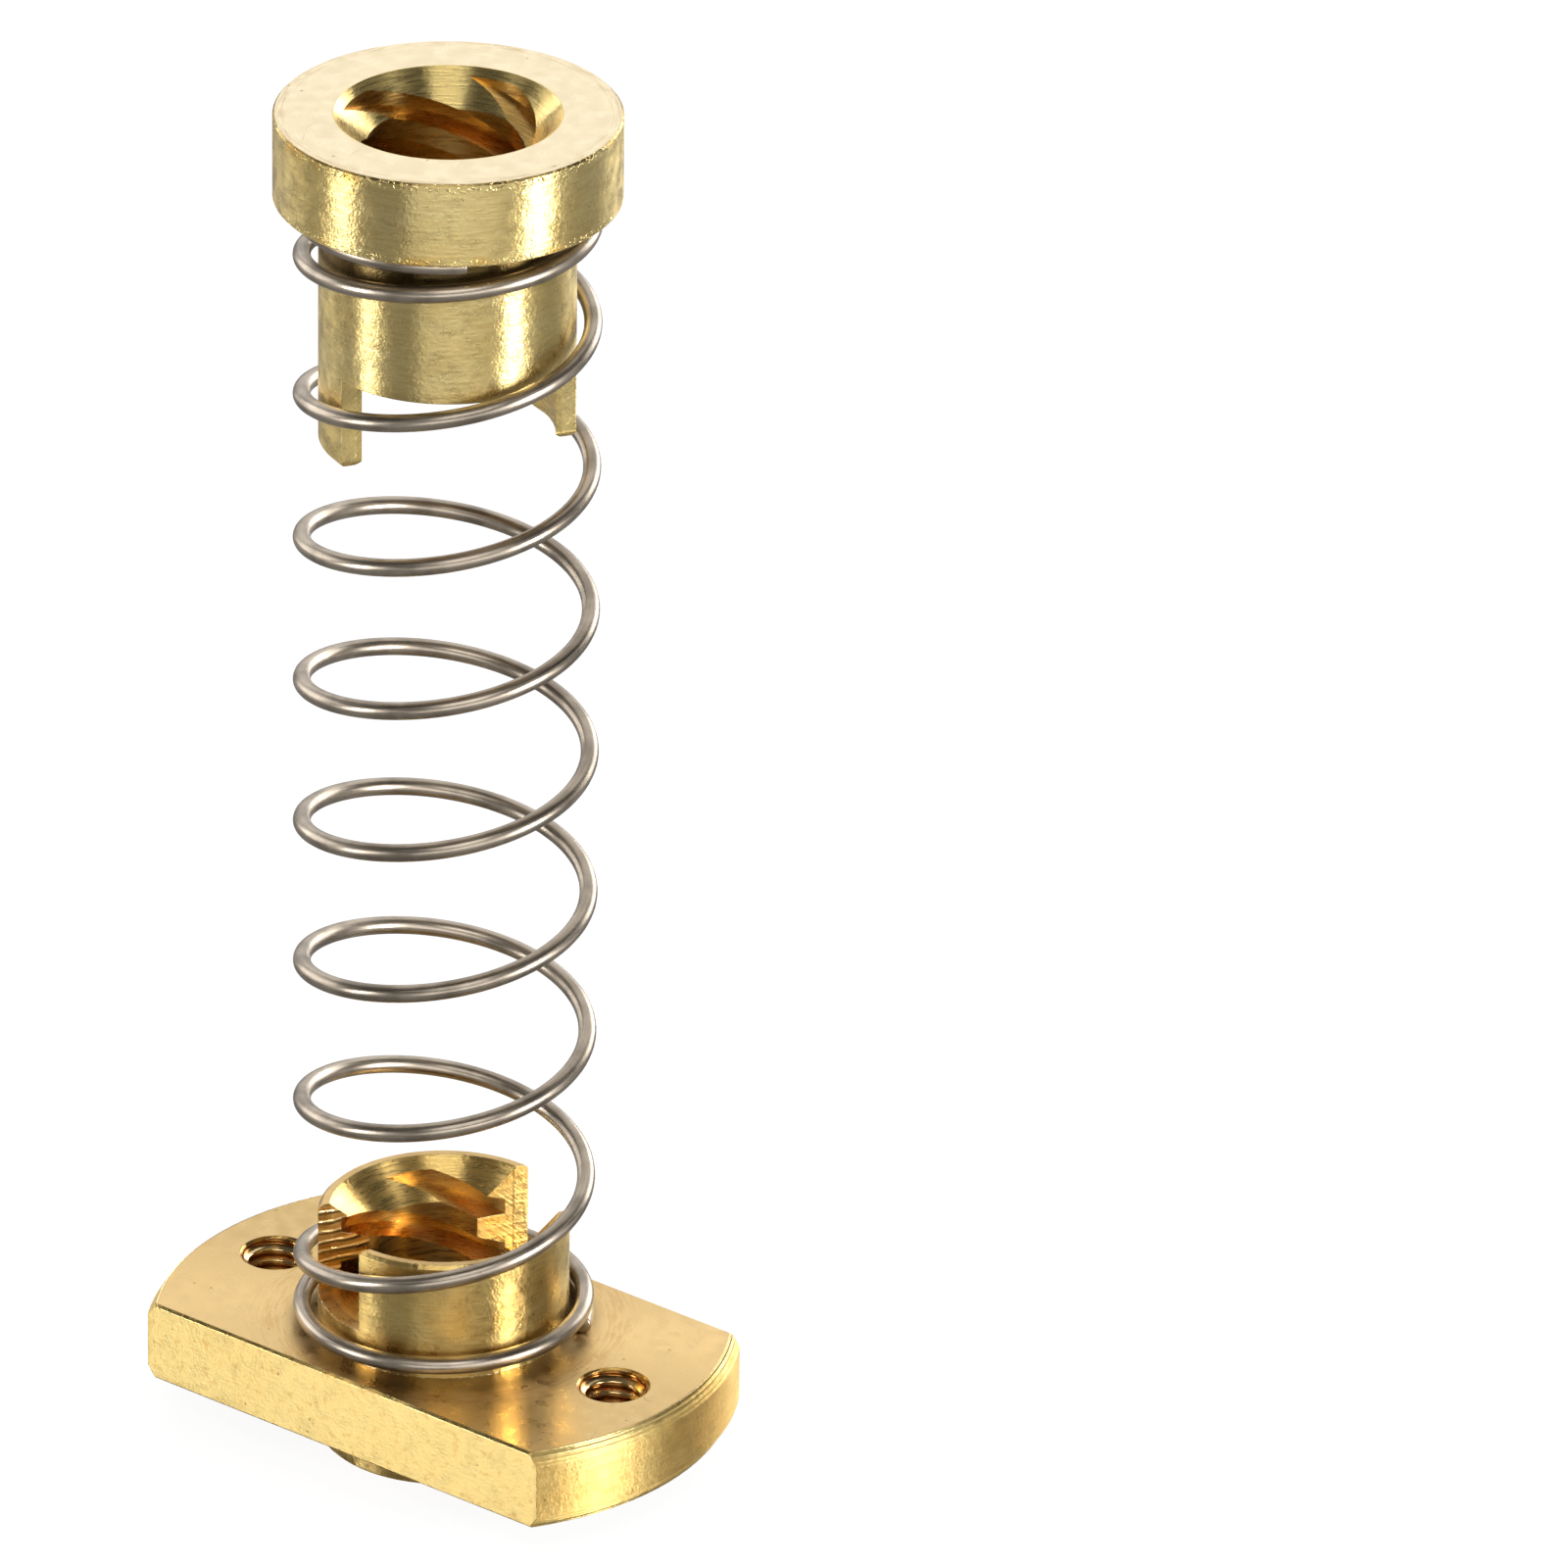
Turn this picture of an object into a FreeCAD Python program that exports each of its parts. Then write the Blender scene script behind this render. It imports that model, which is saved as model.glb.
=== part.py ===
"""Spring-loaded lead screw nut for an 8 mm multi-start screw.

Two brass nuts run on one screw. The flange nut is fastened to a machine by its plate. The
collar nut is pushed away from it by a coil spring, so that each nut bears on the opposite
flank of the screw's thread and takes up the play between them. Two prongs on the collar nut
reach down to two slots in the flange nut's boss and keep the nuts from turning against each
other.

Millimetres. The origin is on the screw's axis, at the underside of the locating spigot.
+Z runs up the screw, and +X along the line through the two fixing holes.
"""

import FreeCAD, Part
import math
import os

# Screw thread: right-handed, trapezoidal
THREAD_STARTS = 4
THREAD_LEAD = 8.0
THREAD_CREST_R = 3.2
THREAD_ROOT_R = 4.2
THREAD_FLANK_DEG = 15.0
THREAD_MOUTH_R = 4.5
BOSS_MOUTH_R = 4.65
THREAD_OVERRUN = 0.4

# Boss diameter that both nuts share
BOSS_R = 5.1

# Flange nut
SPIGOT_HEIGHT = 1.5
PLATE_THICKNESS = 3.45
PLATE_R = 12.1
PLATE_WIDTH = 13.1
PLATE_RIM_BREAK_RADIAL = 0.35
PLATE_RIM_BREAK_AXIAL = 0.55
FLAT_EDGE_BREAK = 0.12
UPPER_BOSS_HEIGHT = 5.1
RIM_EDGE_BREAK = 0.15
FIXING_HOLE_SPACING = 17.7
FIXING_HOLE_R = 1.4
FIXING_HOLE_MOUTH_BREAK = 0.08
FLANGE_THREAD_ANGLE_DEG = -9.0

# Slots in the boss, and the prongs that slide in them
PRONG_WIDTH = 3.0
PRONG_WALL = 0.8
PRONG_LENGTH = 3.9
PRONG_CORNER_R = 0.4
PRONG_TIP_BREAK = 0.25
PRONG_ANGLE_DEG = 57.5
SLOT_ANGLE_DEG = 62.4
SLOT_SIDE_CLEARANCE = 0.63
SLOT_DEPTH = 3.65

# Collar nut
COLLAR_R = 6.9
COLLAR_THICKNESS = 3.55
COLLAR_EDGE_BREAK = 0.08
COLLAR_BODY_HEIGHT = 6.7
COUNTERBORE_DEPTH = 0.5
COLLAR_THREAD_ANGLE_DEG = 27.0

# Spring, free and uncompressed
WIRE_R = 0.36
SPRING_BOSS_CLEARANCE = 0.29
SPRING_SPACE = 50.15
SPRING_COLLAR_GAP = 0.05
SPRING_TURNS = 9.804
SPRING_START_DEG = 27.0
CLOSED_PITCH_CLEARANCE = 0.04
CLOSED_TURNS_BELOW = 1.164
PITCH_CHANGE_BELOW = 0.25
CLOSED_TURNS_ABOVE = 0.5
PITCH_CHANGE_ABOVE = 1.2
FIRST_TURN_EXTRA = 0.95
FIRST_TURN_RUN = 1.4
STATIONS_PER_TURN = 16
WIRE_SIDES = 8

# Heights that follow
PLATE_BOTTOM_Z = SPIGOT_HEIGHT
PLATE_TOP_Z = PLATE_BOTTOM_Z + PLATE_THICKNESS
BOSS_TOP_Z = PLATE_TOP_Z + UPPER_BOSS_HEIGHT
COLLAR_BOTTOM_Z = PLATE_TOP_Z + SPRING_SPACE
COLLAR_TOP_Z = COLLAR_BOTTOM_Z + COLLAR_THICKNESS
COLLAR_BODY_BOTTOM_Z = COLLAR_BOTTOM_Z - COLLAR_BODY_HEIGHT
PRONG_TIP_Z = COLLAR_BODY_BOTTOM_Z - PRONG_LENGTH
SLOT_FLOOR_Z = BOSS_TOP_Z - SLOT_DEPTH
SLOT_WIDTH = PRONG_WIDTH + 2.0 * SLOT_SIDE_CLEARANCE
COUNTERBORE_R = BOSS_R - PRONG_WALL
SPRING_R = BOSS_R + SPRING_BOSS_CLEARANCE + WIRE_R

UP = FreeCAD.Vector(0, 0, 1)
ORIGIN = FreeCAD.Vector(0, 0, 0)


def polar(radius, angle, z):
    """Point at a radius and an angle (radians) round the screw's axis."""
    return FreeCAD.Vector(radius * math.cos(angle), radius * math.sin(angle), z)


def turned(profile):
    """Solid turned from (radius, height) points, as on a lathe."""
    points = [FreeCAD.Vector(r, 0, z) for r, z in profile]
    face = Part.Face(Part.makePolygon(points + points[:1]))
    return face.revolve(ORIGIN, UP, 360)


def box_across(angle_deg, width, length, bottom, top):
    """Box centred on the axis, with its length turned to an angle."""
    corner = FreeCAD.Vector(-length / 2.0, -width / 2.0, bottom)
    box = Part.makeBox(length, width, top - bottom, corner)
    box.rotate(ORIGIN, UP, angle_deg)
    return box


def groove_half_angle(radius):
    """Half the angle that one groove spans at a radius, seen along the axis.

    Along the axis a groove is half a pitch wide at mid depth and narrows towards its root.
    An axial width w spans the angle 360 degrees * w / lead.
    """
    pitch = THREAD_LEAD / THREAD_STARTS
    mid_r = (THREAD_CREST_R + THREAD_ROOT_R) / 2.0
    narrowing = 2.0 * (radius - mid_r) * math.tan(math.radians(THREAD_FLANK_DEG))
    return math.pi * (pitch / 2.0 - narrowing) / THREAD_LEAD


def groove_star(z, turn):
    """Star-shaped section whose slanted sides are the flanks of all the grooves."""
    inner_r = THREAD_CREST_R - THREAD_OVERRUN
    outer_r = THREAD_ROOT_R + THREAD_OVERRUN
    inner_half = groove_half_angle(inner_r)
    outer_half = groove_half_angle(outer_r)
    points = []
    for start in range(THREAD_STARTS):
        middle = turn + start * 2.0 * math.pi / THREAD_STARTS
        points.append(polar(inner_r, middle - inner_half, z))
        points.append(polar(outer_r, middle - outer_half, z))
        points.append(polar(outer_r, middle + outer_half, z))
        points.append(polar(inner_r, middle + inner_half, z))
    return Part.makePolygon(points + points[:1])


def thread_hollow(bottom, top, angle_deg, angle_z):
    """Hollow of the threaded bore, with a groove at angle_deg at height angle_z.

    The star is swept up the axis and turned once in each lead. The root cylinder trims its
    points, and the crest cylinder fills its middle.
    """
    low = bottom - THREAD_OVERRUN
    height = top + THREAD_OVERRUN - low
    foot = FreeCAD.Vector(0, 0, low)
    turn = math.radians(angle_deg) + 2.0 * math.pi * (low - angle_z) / THREAD_LEAD
    line = Part.LineSegment(foot, foot + UP * height)
    guide = Part.makeHelix(THREAD_LEAD, height, THREAD_ROOT_R)
    guide.translate(foot)
    sweep = Part.BRepOffsetAPI.MakePipeShell(Part.Wire([line.toShape()]))
    sweep.setAuxiliarySpine(Part.Wire(guide.Edges), True, 0)
    sweep.add(groove_star(low, turn), False, False)
    sweep.build()
    sweep.makeSolid()
    grooves = sweep.shape().common(Part.makeCylinder(THREAD_ROOT_R, height, foot))
    return grooves.fuse(Part.makeCylinder(THREAD_CREST_R, height, foot))


def countersink(mouth_r, mouth_z, direction):
    """Cone at 45 degrees that opens the bore at a face; direction +1 opens upwards."""
    apex = FreeCAD.Vector(0, 0, mouth_z - direction * mouth_r)
    return Part.makeCone(0, 2.0 * mouth_r, 2.0 * mouth_r, apex, UP * direction)


def fixing_hole(x):
    """Tapped hole through the plate, its two mouths slightly broken."""
    rim_r = FIXING_HOLE_R + FIXING_HOLE_MOUTH_BREAK
    foot = FreeCAD.Vector(x, 0, PLATE_BOTTOM_Z)
    head = FreeCAD.Vector(x, 0, PLATE_TOP_Z)
    hole = Part.makeCylinder(FIXING_HOLE_R, PLATE_THICKNESS, foot)
    low = Part.makeCone(rim_r, FIXING_HOLE_R, FIXING_HOLE_MOUTH_BREAK, foot, UP)
    high = Part.makeCone(rim_r, FIXING_HOLE_R, FIXING_HOLE_MOUTH_BREAK, head, UP * -1)
    return hole.fuse([low, high])


def plate():
    """Turned disc with two milled flats; only the long edges of the flats are broken."""
    inner_r = PLATE_R - PLATE_RIM_BREAK_RADIAL
    disc = turned([
        (0, PLATE_BOTTOM_Z),
        (inner_r, PLATE_BOTTOM_Z),
        (PLATE_R, PLATE_BOTTOM_Z + PLATE_RIM_BREAK_AXIAL),
        (PLATE_R, PLATE_TOP_Z - PLATE_RIM_BREAK_AXIAL),
        (inner_r, PLATE_TOP_Z),
        (0, PLATE_TOP_Z),
    ])
    side = PLATE_WIDTH / 2.0
    edge = FLAT_EDGE_BREAK
    outline = [
        (-side, PLATE_BOTTOM_Z + edge),
        (-side + edge, PLATE_BOTTOM_Z),
        (side - edge, PLATE_BOTTOM_Z),
        (side, PLATE_BOTTOM_Z + edge),
        (side, PLATE_TOP_Z - edge),
        (side - edge, PLATE_TOP_Z),
        (-side + edge, PLATE_TOP_Z),
        (-side, PLATE_TOP_Z - edge),
    ]
    points = [FreeCAD.Vector(-PLATE_R, y, z) for y, z in outline]
    bar = Part.Face(Part.makePolygon(points + points[:1]))
    return disc.common(bar.extrude(FreeCAD.Vector(2.0 * PLATE_R, 0, 0)))


def flange_nut():
    """Plate, spigot and boss turned from one bar, threaded, slotted and tapped."""
    core = turned([
        (0, 0),
        (BOSS_R - RIM_EDGE_BREAK, 0),
        (BOSS_R, RIM_EDGE_BREAK),
        (BOSS_R, BOSS_TOP_Z - RIM_EDGE_BREAK),
        (BOSS_R - RIM_EDGE_BREAK, BOSS_TOP_Z),
        (0, BOSS_TOP_Z),
    ])
    blank = plate().fuse(core)
    thread = thread_hollow(0, BOSS_TOP_Z, FLANGE_THREAD_ANGLE_DEG, BOSS_TOP_Z)
    slot = box_across(SLOT_ANGLE_DEG, SLOT_WIDTH, 3.0 * BOSS_R, SLOT_FLOOR_Z, BOSS_TOP_Z + THREAD_OVERRUN)
    cuts = [
        thread,
        countersink(THREAD_MOUTH_R, 0, -1),
        countersink(BOSS_MOUTH_R, BOSS_TOP_Z, 1),
        slot,
        fixing_hole(-FIXING_HOLE_SPACING / 2.0),
        fixing_hole(FIXING_HOLE_SPACING / 2.0),
    ]
    return blank.cut(cuts)


def prongs():
    """Two ears left standing from the body's wall, their tips rounded and broken."""
    wall = Part.makeCylinder(BOSS_R, PRONG_LENGTH, FreeCAD.Vector(0, 0, PRONG_TIP_Z))
    inside = Part.makeCylinder(COUNTERBORE_R, PRONG_LENGTH, FreeCAD.Vector(0, 0, PRONG_TIP_Z))
    ring = wall.cut(inside)
    ring = ring.makeChamfer(PRONG_TIP_BREAK, [edge for edge in ring.Edges if is_tip_edge(edge)])
    blade = box_across(0, PRONG_WIDTH, 3.0 * BOSS_R, PRONG_TIP_Z, COLLAR_BODY_BOTTOM_Z)
    blade = blade.makeFillet(PRONG_CORNER_R, [edge for edge in blade.Edges if is_tip_edge(edge)])
    blade.rotate(ORIGIN, UP, PRONG_ANGLE_DEG)
    return ring.common(blade)


def is_tip_edge(edge):
    """True for the long edges at the foot of the ring or of the unturned blade."""
    low = abs(edge.BoundBox.ZMax - PRONG_TIP_Z) < PRONG_TIP_BREAK / 10.0
    return low and edge.BoundBox.XLength > BOSS_R


def collar_nut():
    """Collar and body turned from one bar, threaded, with two prongs below."""
    edge = COLLAR_EDGE_BREAK
    blank = turned([
        (0, COLLAR_BODY_BOTTOM_Z),
        (BOSS_R, COLLAR_BODY_BOTTOM_Z),
        (BOSS_R, COLLAR_BOTTOM_Z),
        (COLLAR_R - edge, COLLAR_BOTTOM_Z),
        (COLLAR_R, COLLAR_BOTTOM_Z + edge),
        (COLLAR_R, COLLAR_TOP_Z - edge),
        (COLLAR_R - edge, COLLAR_TOP_Z),
        (0, COLLAR_TOP_Z),
    ])
    thread = thread_hollow(
        COLLAR_BODY_BOTTOM_Z, COLLAR_TOP_Z, COLLAR_THREAD_ANGLE_DEG, COLLAR_TOP_Z)
    foot = FreeCAD.Vector(0, 0, COLLAR_BODY_BOTTOM_Z)
    counterbore = Part.makeCylinder(COUNTERBORE_R, COUNTERBORE_DEPTH, foot)
    body = blank.cut([thread, countersink(THREAD_MOUTH_R, COLLAR_TOP_Z, 1), counterbore])
    return body.fuse(prongs())


def ramp_area(turns, start, width):
    """Area under a smooth step from 0 to 1 that starts at start and is width long."""
    u = min(max((turns - start) / width, 0.0), 1.0)
    past = max(turns - start - width, 0.0)
    return width * (u ** 3 - u ** 4 / 2.0) + past


def open_turns(turns):
    """Turns passed at the open pitch, with the closed turns at both ends left out."""
    upper_start = SPRING_TURNS - CLOSED_TURNS_ABOVE - PITCH_CHANGE_ABOVE
    opening = ramp_area(turns, CLOSED_TURNS_BELOW, PITCH_CHANGE_BELOW)
    return opening - ramp_area(turns, upper_start, PITCH_CHANGE_ABOVE)


def first_turn_share(turns):
    """Smooth step from 0 to 1 over the first open turn, which stands a little wider."""
    u = min(max((turns - CLOSED_TURNS_BELOW) / FIRST_TURN_RUN, 0.0), 1.0)
    return u * u * (3.0 - 2.0 * u)


def spring_centre(turns):
    """Point on the wire's centre line after a number of turns from the lower end."""
    closed_pitch = 2.0 * WIRE_R + CLOSED_PITCH_CLEARANCE
    rise = SPRING_SPACE - SPRING_COLLAR_GAP - 2.0 * WIRE_R - FIRST_TURN_EXTRA
    extra = (rise - closed_pitch * SPRING_TURNS) / open_turns(SPRING_TURNS)
    angle = math.radians(SPRING_START_DEG) + 2.0 * math.pi * turns
    height = closed_pitch * turns + extra * open_turns(turns) + FIRST_TURN_EXTRA * first_turn_share(turns)
    return polar(SPRING_R, angle, PLATE_TOP_Z + WIRE_R + height)


def wire_section(turns, reach):
    """Outline of the wire, square to its run, whose flats touch the round wire."""
    centre = spring_centre(turns)
    run = spring_centre(turns + reach) - spring_centre(turns - reach)
    run.normalize()
    outward = FreeCAD.Vector(centre.x, centre.y, 0)
    upward = run.cross(outward)
    upward.normalize()
    outward = upward.cross(run)
    corner_r = WIRE_R / math.cos(math.pi / WIRE_SIDES)
    points = []
    for side in range(WIRE_SIDES):
        angle = math.pi * (2 * side + 1) / WIRE_SIDES
        offset = outward * (corner_r * math.cos(angle)) + upward * (corner_r * math.sin(angle))
        points.append(centre + offset)
    return Part.makePolygon(points + points[:1])


def spring():
    """Right-hand coil spring, each end coil closed against the next and not ground."""
    count = int(round(SPRING_TURNS * STATIONS_PER_TURN))
    step = SPRING_TURNS / count
    sections = [wire_section(index * step, step / 4.0) for index in range(count + 1)]
    return Part.makeLoft(sections, True, True)


os.makedirs("parts", exist_ok=True)
pieces = {
    "flange_nut": flange_nut(),
    "collar_nut": collar_nut(),
    "spring": spring(),
}
for name, shape in pieces.items():
    solid = shape.Solids[0] if len(shape.Solids) == 1 else shape
    solid.exportStep("parts/" + name + ".step")
    print(name, "valid", solid.isValid(), "solids", len(shape.Solids), "volume", round(solid.Volume, 2))
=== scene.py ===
"""Looks of a spring-loaded lead screw nut: two turned brass nuts and a drawn wire spring.

Metres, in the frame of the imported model: +Z runs up the screw, and +X along the line
through the two fixing holes.
"""

import math

import bpy
import numpy as np
from mathutils import Matrix, Vector


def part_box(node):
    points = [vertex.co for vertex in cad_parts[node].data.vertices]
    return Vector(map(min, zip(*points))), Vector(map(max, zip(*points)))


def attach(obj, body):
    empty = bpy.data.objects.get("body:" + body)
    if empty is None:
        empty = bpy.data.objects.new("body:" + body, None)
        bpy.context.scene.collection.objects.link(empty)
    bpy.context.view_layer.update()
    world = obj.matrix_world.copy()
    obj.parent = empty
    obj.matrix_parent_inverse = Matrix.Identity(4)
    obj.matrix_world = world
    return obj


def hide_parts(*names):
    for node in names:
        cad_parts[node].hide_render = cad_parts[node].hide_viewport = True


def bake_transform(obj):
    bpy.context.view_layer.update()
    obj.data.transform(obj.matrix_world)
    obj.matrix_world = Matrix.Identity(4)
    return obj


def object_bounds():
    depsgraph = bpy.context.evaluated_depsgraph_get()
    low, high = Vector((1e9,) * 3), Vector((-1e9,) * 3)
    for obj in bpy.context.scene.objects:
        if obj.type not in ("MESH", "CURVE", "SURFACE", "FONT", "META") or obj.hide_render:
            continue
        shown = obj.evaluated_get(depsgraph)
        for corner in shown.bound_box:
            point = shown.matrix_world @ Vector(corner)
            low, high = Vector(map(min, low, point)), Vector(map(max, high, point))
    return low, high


bl_info = {
    "name": "Lead screw nut finish",
    "version": (1, 0, 0),
    "blender": (4, 5, 0),
    "location": "View3D > Sidebar > Screw nut",
    "description": "Gives a spring-loaded lead screw nut its brass, its wire spring and its studio",
    "category": "Object",
}

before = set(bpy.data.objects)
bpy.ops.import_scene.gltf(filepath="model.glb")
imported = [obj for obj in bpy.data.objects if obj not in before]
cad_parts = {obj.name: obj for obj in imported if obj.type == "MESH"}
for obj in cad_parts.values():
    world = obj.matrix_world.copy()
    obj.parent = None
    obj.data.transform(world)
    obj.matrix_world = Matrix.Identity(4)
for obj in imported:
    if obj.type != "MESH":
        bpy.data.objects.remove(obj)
CAD_LOW, CAD_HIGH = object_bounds()
PLATE_LOW, PLATE_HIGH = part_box("flange_nut")
COLLAR_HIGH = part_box("collar_nut")[1]
SPRING_LOW, SPRING_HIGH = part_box("spring")

MM = 0.001
FULL_TURN = 2.0 * math.pi

# Sizes of the nuts that the finish needs, in mm
BOSS_R = 5.1
THREAD_CREST_R = 3.2
THREAD_ROOT_R = 4.2
PLATE_BOTTOM_Z = 1.5
PLATE_TOP_Z = SPRING_LOW.z / MM
FIXING_HOLE_X = 8.85
FIXING_HOLE_R = 1.4
SLOT_ANGLE_DEG = 62.4
SLOT_HALF_WIDTH = 2.13
SLOT_FLOOR_Z = 6.4
SPRING_COLLAR_GAP = 0.05
COLLAR_TOP_Z = COLLAR_HIGH.z / MM
COLLAR_BOTTOM_Z = SPRING_HIGH.z / MM + SPRING_COLLAR_GAP
FLAT_DISTANCE = (PLATE_HIGH.y - PLATE_LOW.y) / MM / 2.0
RIM_R = (PLATE_HIGH.x - PLATE_LOW.x) / MM / 2.0

# Painted shade beside the spring: lowest and highest z, inner and outer radius, how strongly
PLATE_SHADE = (PLATE_TOP_Z - 0.02, PLATE_TOP_Z + 0.02, BOSS_R, BOSS_R + 0.8, 0.5)
COLLAR_SHADE = (COLLAR_BOTTOM_Z - 1.9, COLLAR_BOTTOM_Z, BOSS_R, BOSS_R + 0.1, 0.85)

# The spring's run, as in the solid model; runs are in turns, the rest in mm
SPRING_TURNS = 9.804
SPRING_START_DEG = 27.0
CLOSED_PITCH_CLEARANCE = 0.04
CLOSED_TURNS_BELOW = 1.164
PITCH_CHANGE_BELOW = 0.25
CLOSED_TURNS_ABOVE = 0.5
PITCH_CHANGE_ABOVE = 1.2
FIRST_TURN_EXTRA = 0.95
FIRST_TURN_RUN = 1.4

# Rounding of the wire's cut ends: its length in wire diameters, where along it the first
# sections stand and how large they are
END_ROUNDING = 0.12
END_STATIONS = (0.0, 0.25, 1.0)
END_SECTIONS = (0.82, 0.94)
DIRECTION_STEP_TURNS = 1e-4

# Fine thread of the fixing holes, in mm or in pitches
TAP_DEPTH = 0.54
TAP_RUNOUT = 0.5
TAP_FLANK_GAIN = 1.25
TAP_WALL_GAP = 0.012
TAP_BACK = 0.05
TAP_MOUTH = 0.13
TAP_SIDES = 96
TAP_STATIONS_PER_PITCH = 24

# Shading of the solids' facets
WELD_MM = 0.002
SHARP_EDGE_DEG = 28.0
LARGE_FACE_WEIGHT = 90

# Where each finish begins and is full: cosines between a face and a direction
LEVEL_FACE = (0.9, 0.97)
SLOT_FACE = (0.97, 0.99)
RIM_WALL = (0.9, 0.97)
BROKEN_EDGE = (0.62, 0.68)
ROUNDED_EDGE = (0.9, 0.985)
BORE_FACE = (0.76, 0.86)

# The same for distances from the axis, in mm
BORE_MOUTH = (THREAD_ROOT_R + 0.3, THREAD_ROOT_R + 0.36)
BORE_ROOTS = (THREAD_ROOT_R + 0.06, THREAD_ROOT_R + 0.12)
OUTSIDE_BORE = (THREAD_ROOT_R + 0.04, THREAD_ROOT_R + 0.1)
THREAD_GROOVE = (THREAD_CREST_R + 0.06, THREAD_CREST_R + 0.14)
OUTSIDE_BOSS = (BOSS_R + 0.2, BOSS_R + 0.3)
SPRING_MARKS_START = (6.3, 6.6)
SPRING_MARKS_END = (7.2, 8.2)
RIM_RIDGES_START = (RIM_R - 0.42, RIM_R - 0.36)
RIM_RIDGES_END = (RIM_R - 0.08, RIM_R - 0.02)
RIM_BAND = (RIM_R - 0.3, RIM_R - 0.1)
MILLED_FLAT = (FLAT_DISTANCE - 0.02, FLAT_DISTANCE)

# The same for distances from an edge or from a fixing hole's axis, in mm
KNOCK_REACH = (0.1, 0.42)
STAIN_REACH = (0.15, 0.6)
HOLE_MOUTH = (FIXING_HOLE_R + 0.09, FIXING_HOLE_R + 0.11)
HOLE_WALL = (FIXING_HOLE_R - 0.2, FIXING_HOLE_R - 0.06)

# Fades of the painted shade and margins of the slot and the boss, in mm; the cutter went
# into the slots at the first of its two places along Y, and came out at the second
SHADE_FADE_DOWN = 0.5
SHADE_FADE_UP = 0.02
SHADE_FADE_IN = (0.15, 0.1)
SHADE_FADE_OUT = 0.7
SLOT_MARGIN = 0.05
ABOVE_PLATE = 0.1
CUTTER_PATH_Y = (-1.0, 1.0)

# Noises: repeats per mm, detail and roughness, or only the last two where a size of the
# finish gives the first
TONE_CLOUDS = (0.3, 3.0)
ROUGHNESS_CLOUDS = (1.4, 3.0)
STAIN_PATCHES = (0.7, 2.0)
CHATTER_WANDER = (0.9, 2.0)
DRAG_SPECKS = (2.6, 3.0, 0.7)
SCRATCH_PATHS = (0.28, 1.0)
SCRATCH_PARTS = (0.56, 1.0)
WIRE_CLOUDS = (0.6, 3.0)
RING_DETAIL = (2.0, 0.65)
MILLED_DETAIL = (2.0, 0.6)
DIE_LINE_DETAIL = (3.0, 0.6)
BURR_DETAIL = 1.0
GRAIN_DETAIL = 0.0

# How these are drawn out along a mark or moved: factors on the place, a shift in mm, and
# radians of the chatter's wave
RING_STRETCH = 0.1
MILLING_STRETCH = 0.2
LINES_ROUND_WIRE = 40.0
LINES_ALONG_WIRE = 0.25
COARSE_PER_FINE = 0.4
SCRATCH_SHIFT = (3.0, 6.0, -3.0)
WANDER_RADIANS = 4.0

# Values of a noise or of a cell between which a mark comes up
CLOUD_RANGE = (0.3, 0.7)
STREAK_RANGE = (0.42, 0.66)
MILLED_RANGE = (0.46, 0.7)
KNOCK_RANGE = (0.56, 0.7)
STAIN_RANGE = (0.5, 0.64)
SPECK_RANGE = (0.5, 0.75)
FLECK_RANGE = (0.5, 0.6)
SCRATCH_WIDTH = (0.0012, 0.004)
SCRATCH_RANGE = (0.6, 0.68)
PIT_SIZE = (0.05, 0.11)
PIT_CHANCE = (0.5, 0.75)
BORE_RING_RANGE = (0.35, 0.65)
WIRE_CLOUD_RANGE = (0.35, 0.7)
DIE_LINE_RANGE = (0.3, 0.7)

# Heights of the marks, as a share of the mark depth: outside the bore and in it, or on the
# walls and on level faces; the die lines of the wire have their own depth
WALL_RINGS = 0.7
LEVEL_RINGS = (0.12, 0.92)
FINE_GRAIN = (0.5, 0.15)
COARSE_GRAIN = (0.65, 0.3)
LEVEL_GRAIN = 0.45
KNOCK_HEIGHT = 4.0
RIM_RIDGE_HEIGHT = 2.5
CHATTER_HEIGHT = 3.5
CHATTER_ALONG_CUT = (1.0, 0.08)
CHATTER_SHARPNESS = 3.0
MILLED_HEIGHT = 0.5
DIE_LINE_DEPTH_MM = 0.004
DIE_LINE_STRENGTH = 0.3

# How far a tone covers what is under it
STREAK_COVER = 0.22
LEVEL_STREAKS = (0.15, 1.55)
STAIN_COVER = 0.5
MOUTH_COVER = 0.75
BOSS_COVER = 0.15
MILLED_COVER = 0.8
MILLED_STREAKS = 0.5
SPECK_COVER = (0.1, 0.55)
RIM_COVER = 0.25
PIT_COVER = 0.5
SCRATCH_COVER = 0.35
BROKEN_COVER = 0.5
DULL_EDGE_COVER = 0.45
CHATTER_COVER = 0.7
SLOT_COVER = (0.75, 0.25)
CREST_COVER = 0.4

# Roughness added to that of the turned faces, or given instead of it
CLOUDY_ROUGHNESS = (-0.05, 0.07)
EDGE_ROUGHNESS = 0.25
MILLED_ROUGHNESS = 0.13
RIM_ROUGHNESS = 0.25
BORE_ROUGHNESS = (0.24, 0.34)
WIRE_ROUGHNESS = (0.26, 0.42)
TAPPED_ROUGHNESS = 0.2

# How far the turned and milled marks stretch a reflection, and its turn against them; the
# rays that find an edge, and how little of it is rounded on the milled plate
ALONG_MARKS = 0.85
QUARTER_TURN = 0.25
BEVEL_SAMPLES = 6
CRISP_MILLED_EDGES = 0.5

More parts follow.
